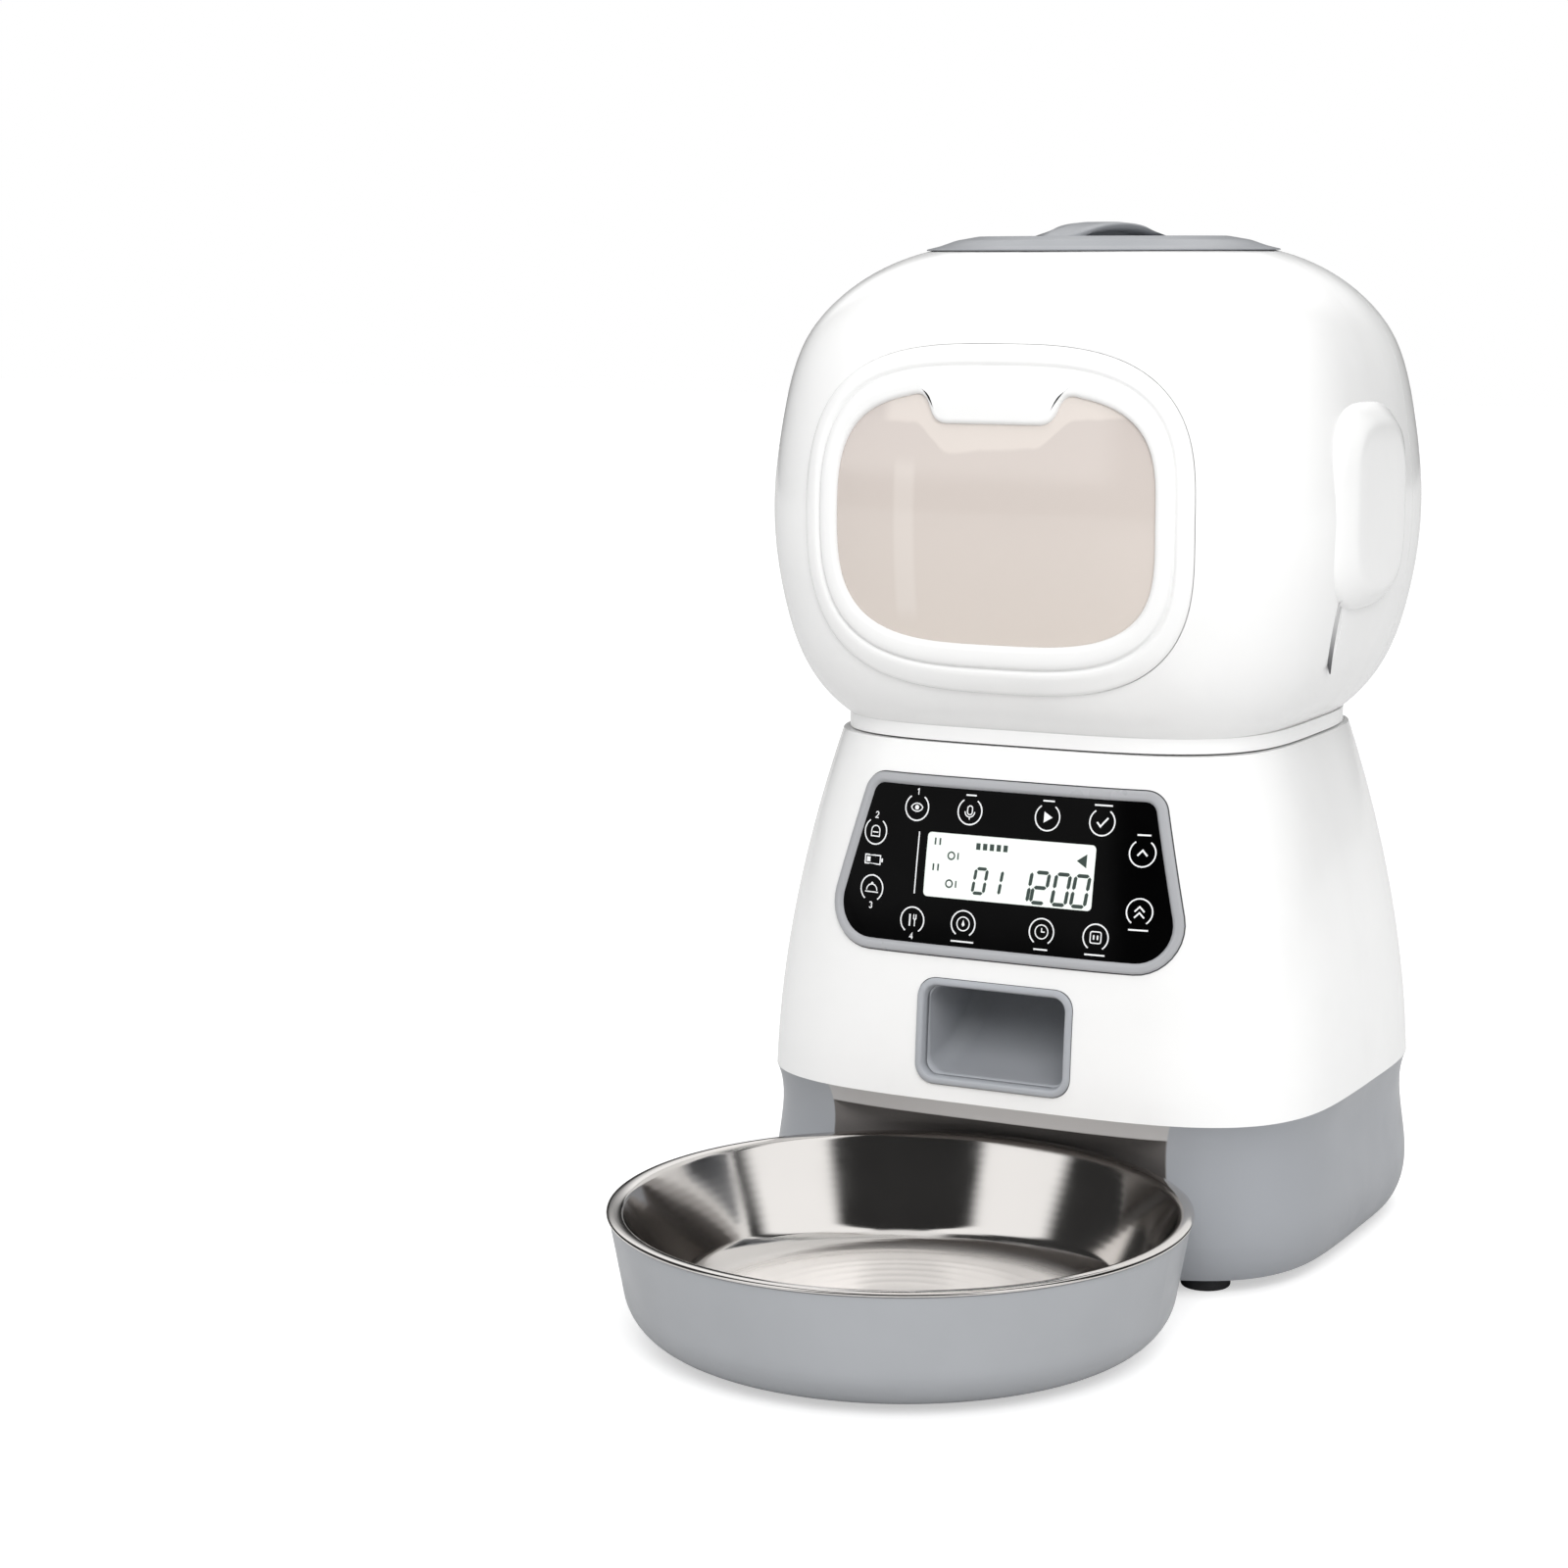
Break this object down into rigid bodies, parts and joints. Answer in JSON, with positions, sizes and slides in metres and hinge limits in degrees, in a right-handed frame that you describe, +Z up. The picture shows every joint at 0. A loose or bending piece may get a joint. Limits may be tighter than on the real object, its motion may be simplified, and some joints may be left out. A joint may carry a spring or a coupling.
{
  "type": "automatic pet feeder",
  "caption": "Automatic pet feeder: white food tank with a tinted window on a tapered base with a touch panel and outlet, and a steel bowl in a grey holder in front.",
  "frame": {"origin": "on the floor, under the middle of the feeder's length and width", "axes": "+Z up, -Y the front (the bowl's side), +X the feeder's left side as it faces out of its front"},
  "size_m": [0.2024, 0.331, 0.338],
  "materials": {
    "white_abs": "gloss",
    "inner_white": "satin",
    "grey_abs": "satin",
    "bowl_grey": "satin",
    "silver_trim": "satin",
    "black_panel": "high gloss",
    "lcd": "gloss",
    "window": "gloss",
    "steel": "polished",
    "zinc": "plated",
    "rubber": "matte",
    "silicone": "matte",
    "board": "solder mask",
    "contact": "plated",
    "pom": "satin",
    "dark_plastic": "satin",
    "cell": "printed jacket",
    "sachet": "paper"
  },
  "bodies": {
    "base": {"base_housing": "white_abs", "base_skirt": "grey_abs", "bottom_plate": "grey_abs", "rubber_feet": "rubber", "panel_bezel": "silver_trim", "panel_lens": "black_panel", "lcd_display": "lcd", "touch_pads": "contact", "control_board": "board", "board_screws": "zinc", "microphone": "dark_plastic", "speaker": "dark_plastic", "dc_jack": "dark_plastic", "chute_frame": "grey_abs", "chute": "grey_abs", "rotor_well": "grey_abs", "motor": "zinc", "gearbox_housing": "dark_plastic", "gearbox_cover": "dark_plastic", "gearbox_screws": "zinc", "shaft_bush": "contact", "idler_pin": "zinc", "position_sensor": "dark_plastic", "battery_box": "grey_abs", "battery_cells": "cell", "battery_contacts": "contact", "housing_screws": "zinc"},
    "tank": {"tank_front_shell": "white_abs", "tank_rear_shell": "white_abs", "tank_floor": "white_abs", "hopper_funnel": "inner_white", "mouth_ring": "inner_white", "window_frame": "white_abs", "window_pane": "window", "ear_cover_left": "white_abs", "ear_cover_right": "white_abs", "drop_guard": "grey_abs", "tank_screws": "zinc"},
    "lid": {"lid": "grey_abs", "lid_handle": "grey_abs", "lid_seal": "silicone", "desiccant_box": "grey_abs", "desiccant_sachet": "sachet"},
    "desiccant_cover": {"desiccant_cover": "grey_abs"},
    "battery_door": {"battery_door": "grey_abs"},
    "rotor": {"rotor": "inner_white", "rotor_wipers": "silicone", "rotor_screw": "zinc", "drive_shaft": "zinc", "output_gear": "pom", "index_magnet": "zinc"},
    "idler_gear": {"idler_gear": "pom"},
    "motor_pinion": {"motor_pinion": "contact"},
    "bowl_holder": {"bowl_holder": "bowl_grey", "holder_feet": "rubber"},
    "bowl": {"steel_bowl": "steel"}
  },
  "joints": [
    {"name": "tank_lift", "type": "slide", "parent": "base", "child": "tank", "axis": [0, 0, 1], "range_m": [0, 0.06]},
    {"name": "lid_lift", "type": "slide", "parent": "tank", "child": "lid", "axis": [0, 0, 1], "range_m": [0, 0.045]},
    {"name": "desiccant_cover_turn", "type": "hinge", "parent": "lid", "child": "desiccant_cover", "pos_m": [0, 0.07843, 0.302], "axis": [0, 0, 1], "range_deg": [0, 30]},
    {"name": "rotor_spin", "type": "hinge", "parent": "base", "child": "rotor", "pos_m": [0, 0.07843, 0.15], "axis": [0, 0, 1], "continuous": true},
    {"name": "idler_spin", "type": "hinge", "parent": "base", "child": "idler_gear", "pos_m": [0, 0.10543, 0.13], "axis": [0, 0, 1], "continuous": true},
    {"name": "pinion_spin", "type": "hinge", "parent": "base", "child": "motor_pinion", "pos_m": [0, 0.12843, 0.125], "axis": [0, 0, 1], "continuous": true},
    {"name": "bowl_holder_slide", "type": "slide", "parent": "base", "child": "bowl_holder", "axis": [0, -1, 0], "range_m": [0, 0.06]},
    {"name": "bowl_lift", "type": "slide", "parent": "bowl_holder", "child": "bowl", "axis": [0, 0, 1], "range_m": [0, 0.009]},
    {"name": "battery_door_slide", "type": "slide", "parent": "base", "child": "battery_door", "axis": [0, 1, 0], "range_m": [0, 0.008]}
  ],
  "couplings": [
    {"joint": "idler_spin", "follows": "rotor_spin", "ratio": -3.5},
    {"joint": "pinion_spin", "follows": "rotor_spin", "ratio": 12.6}
  ]
}
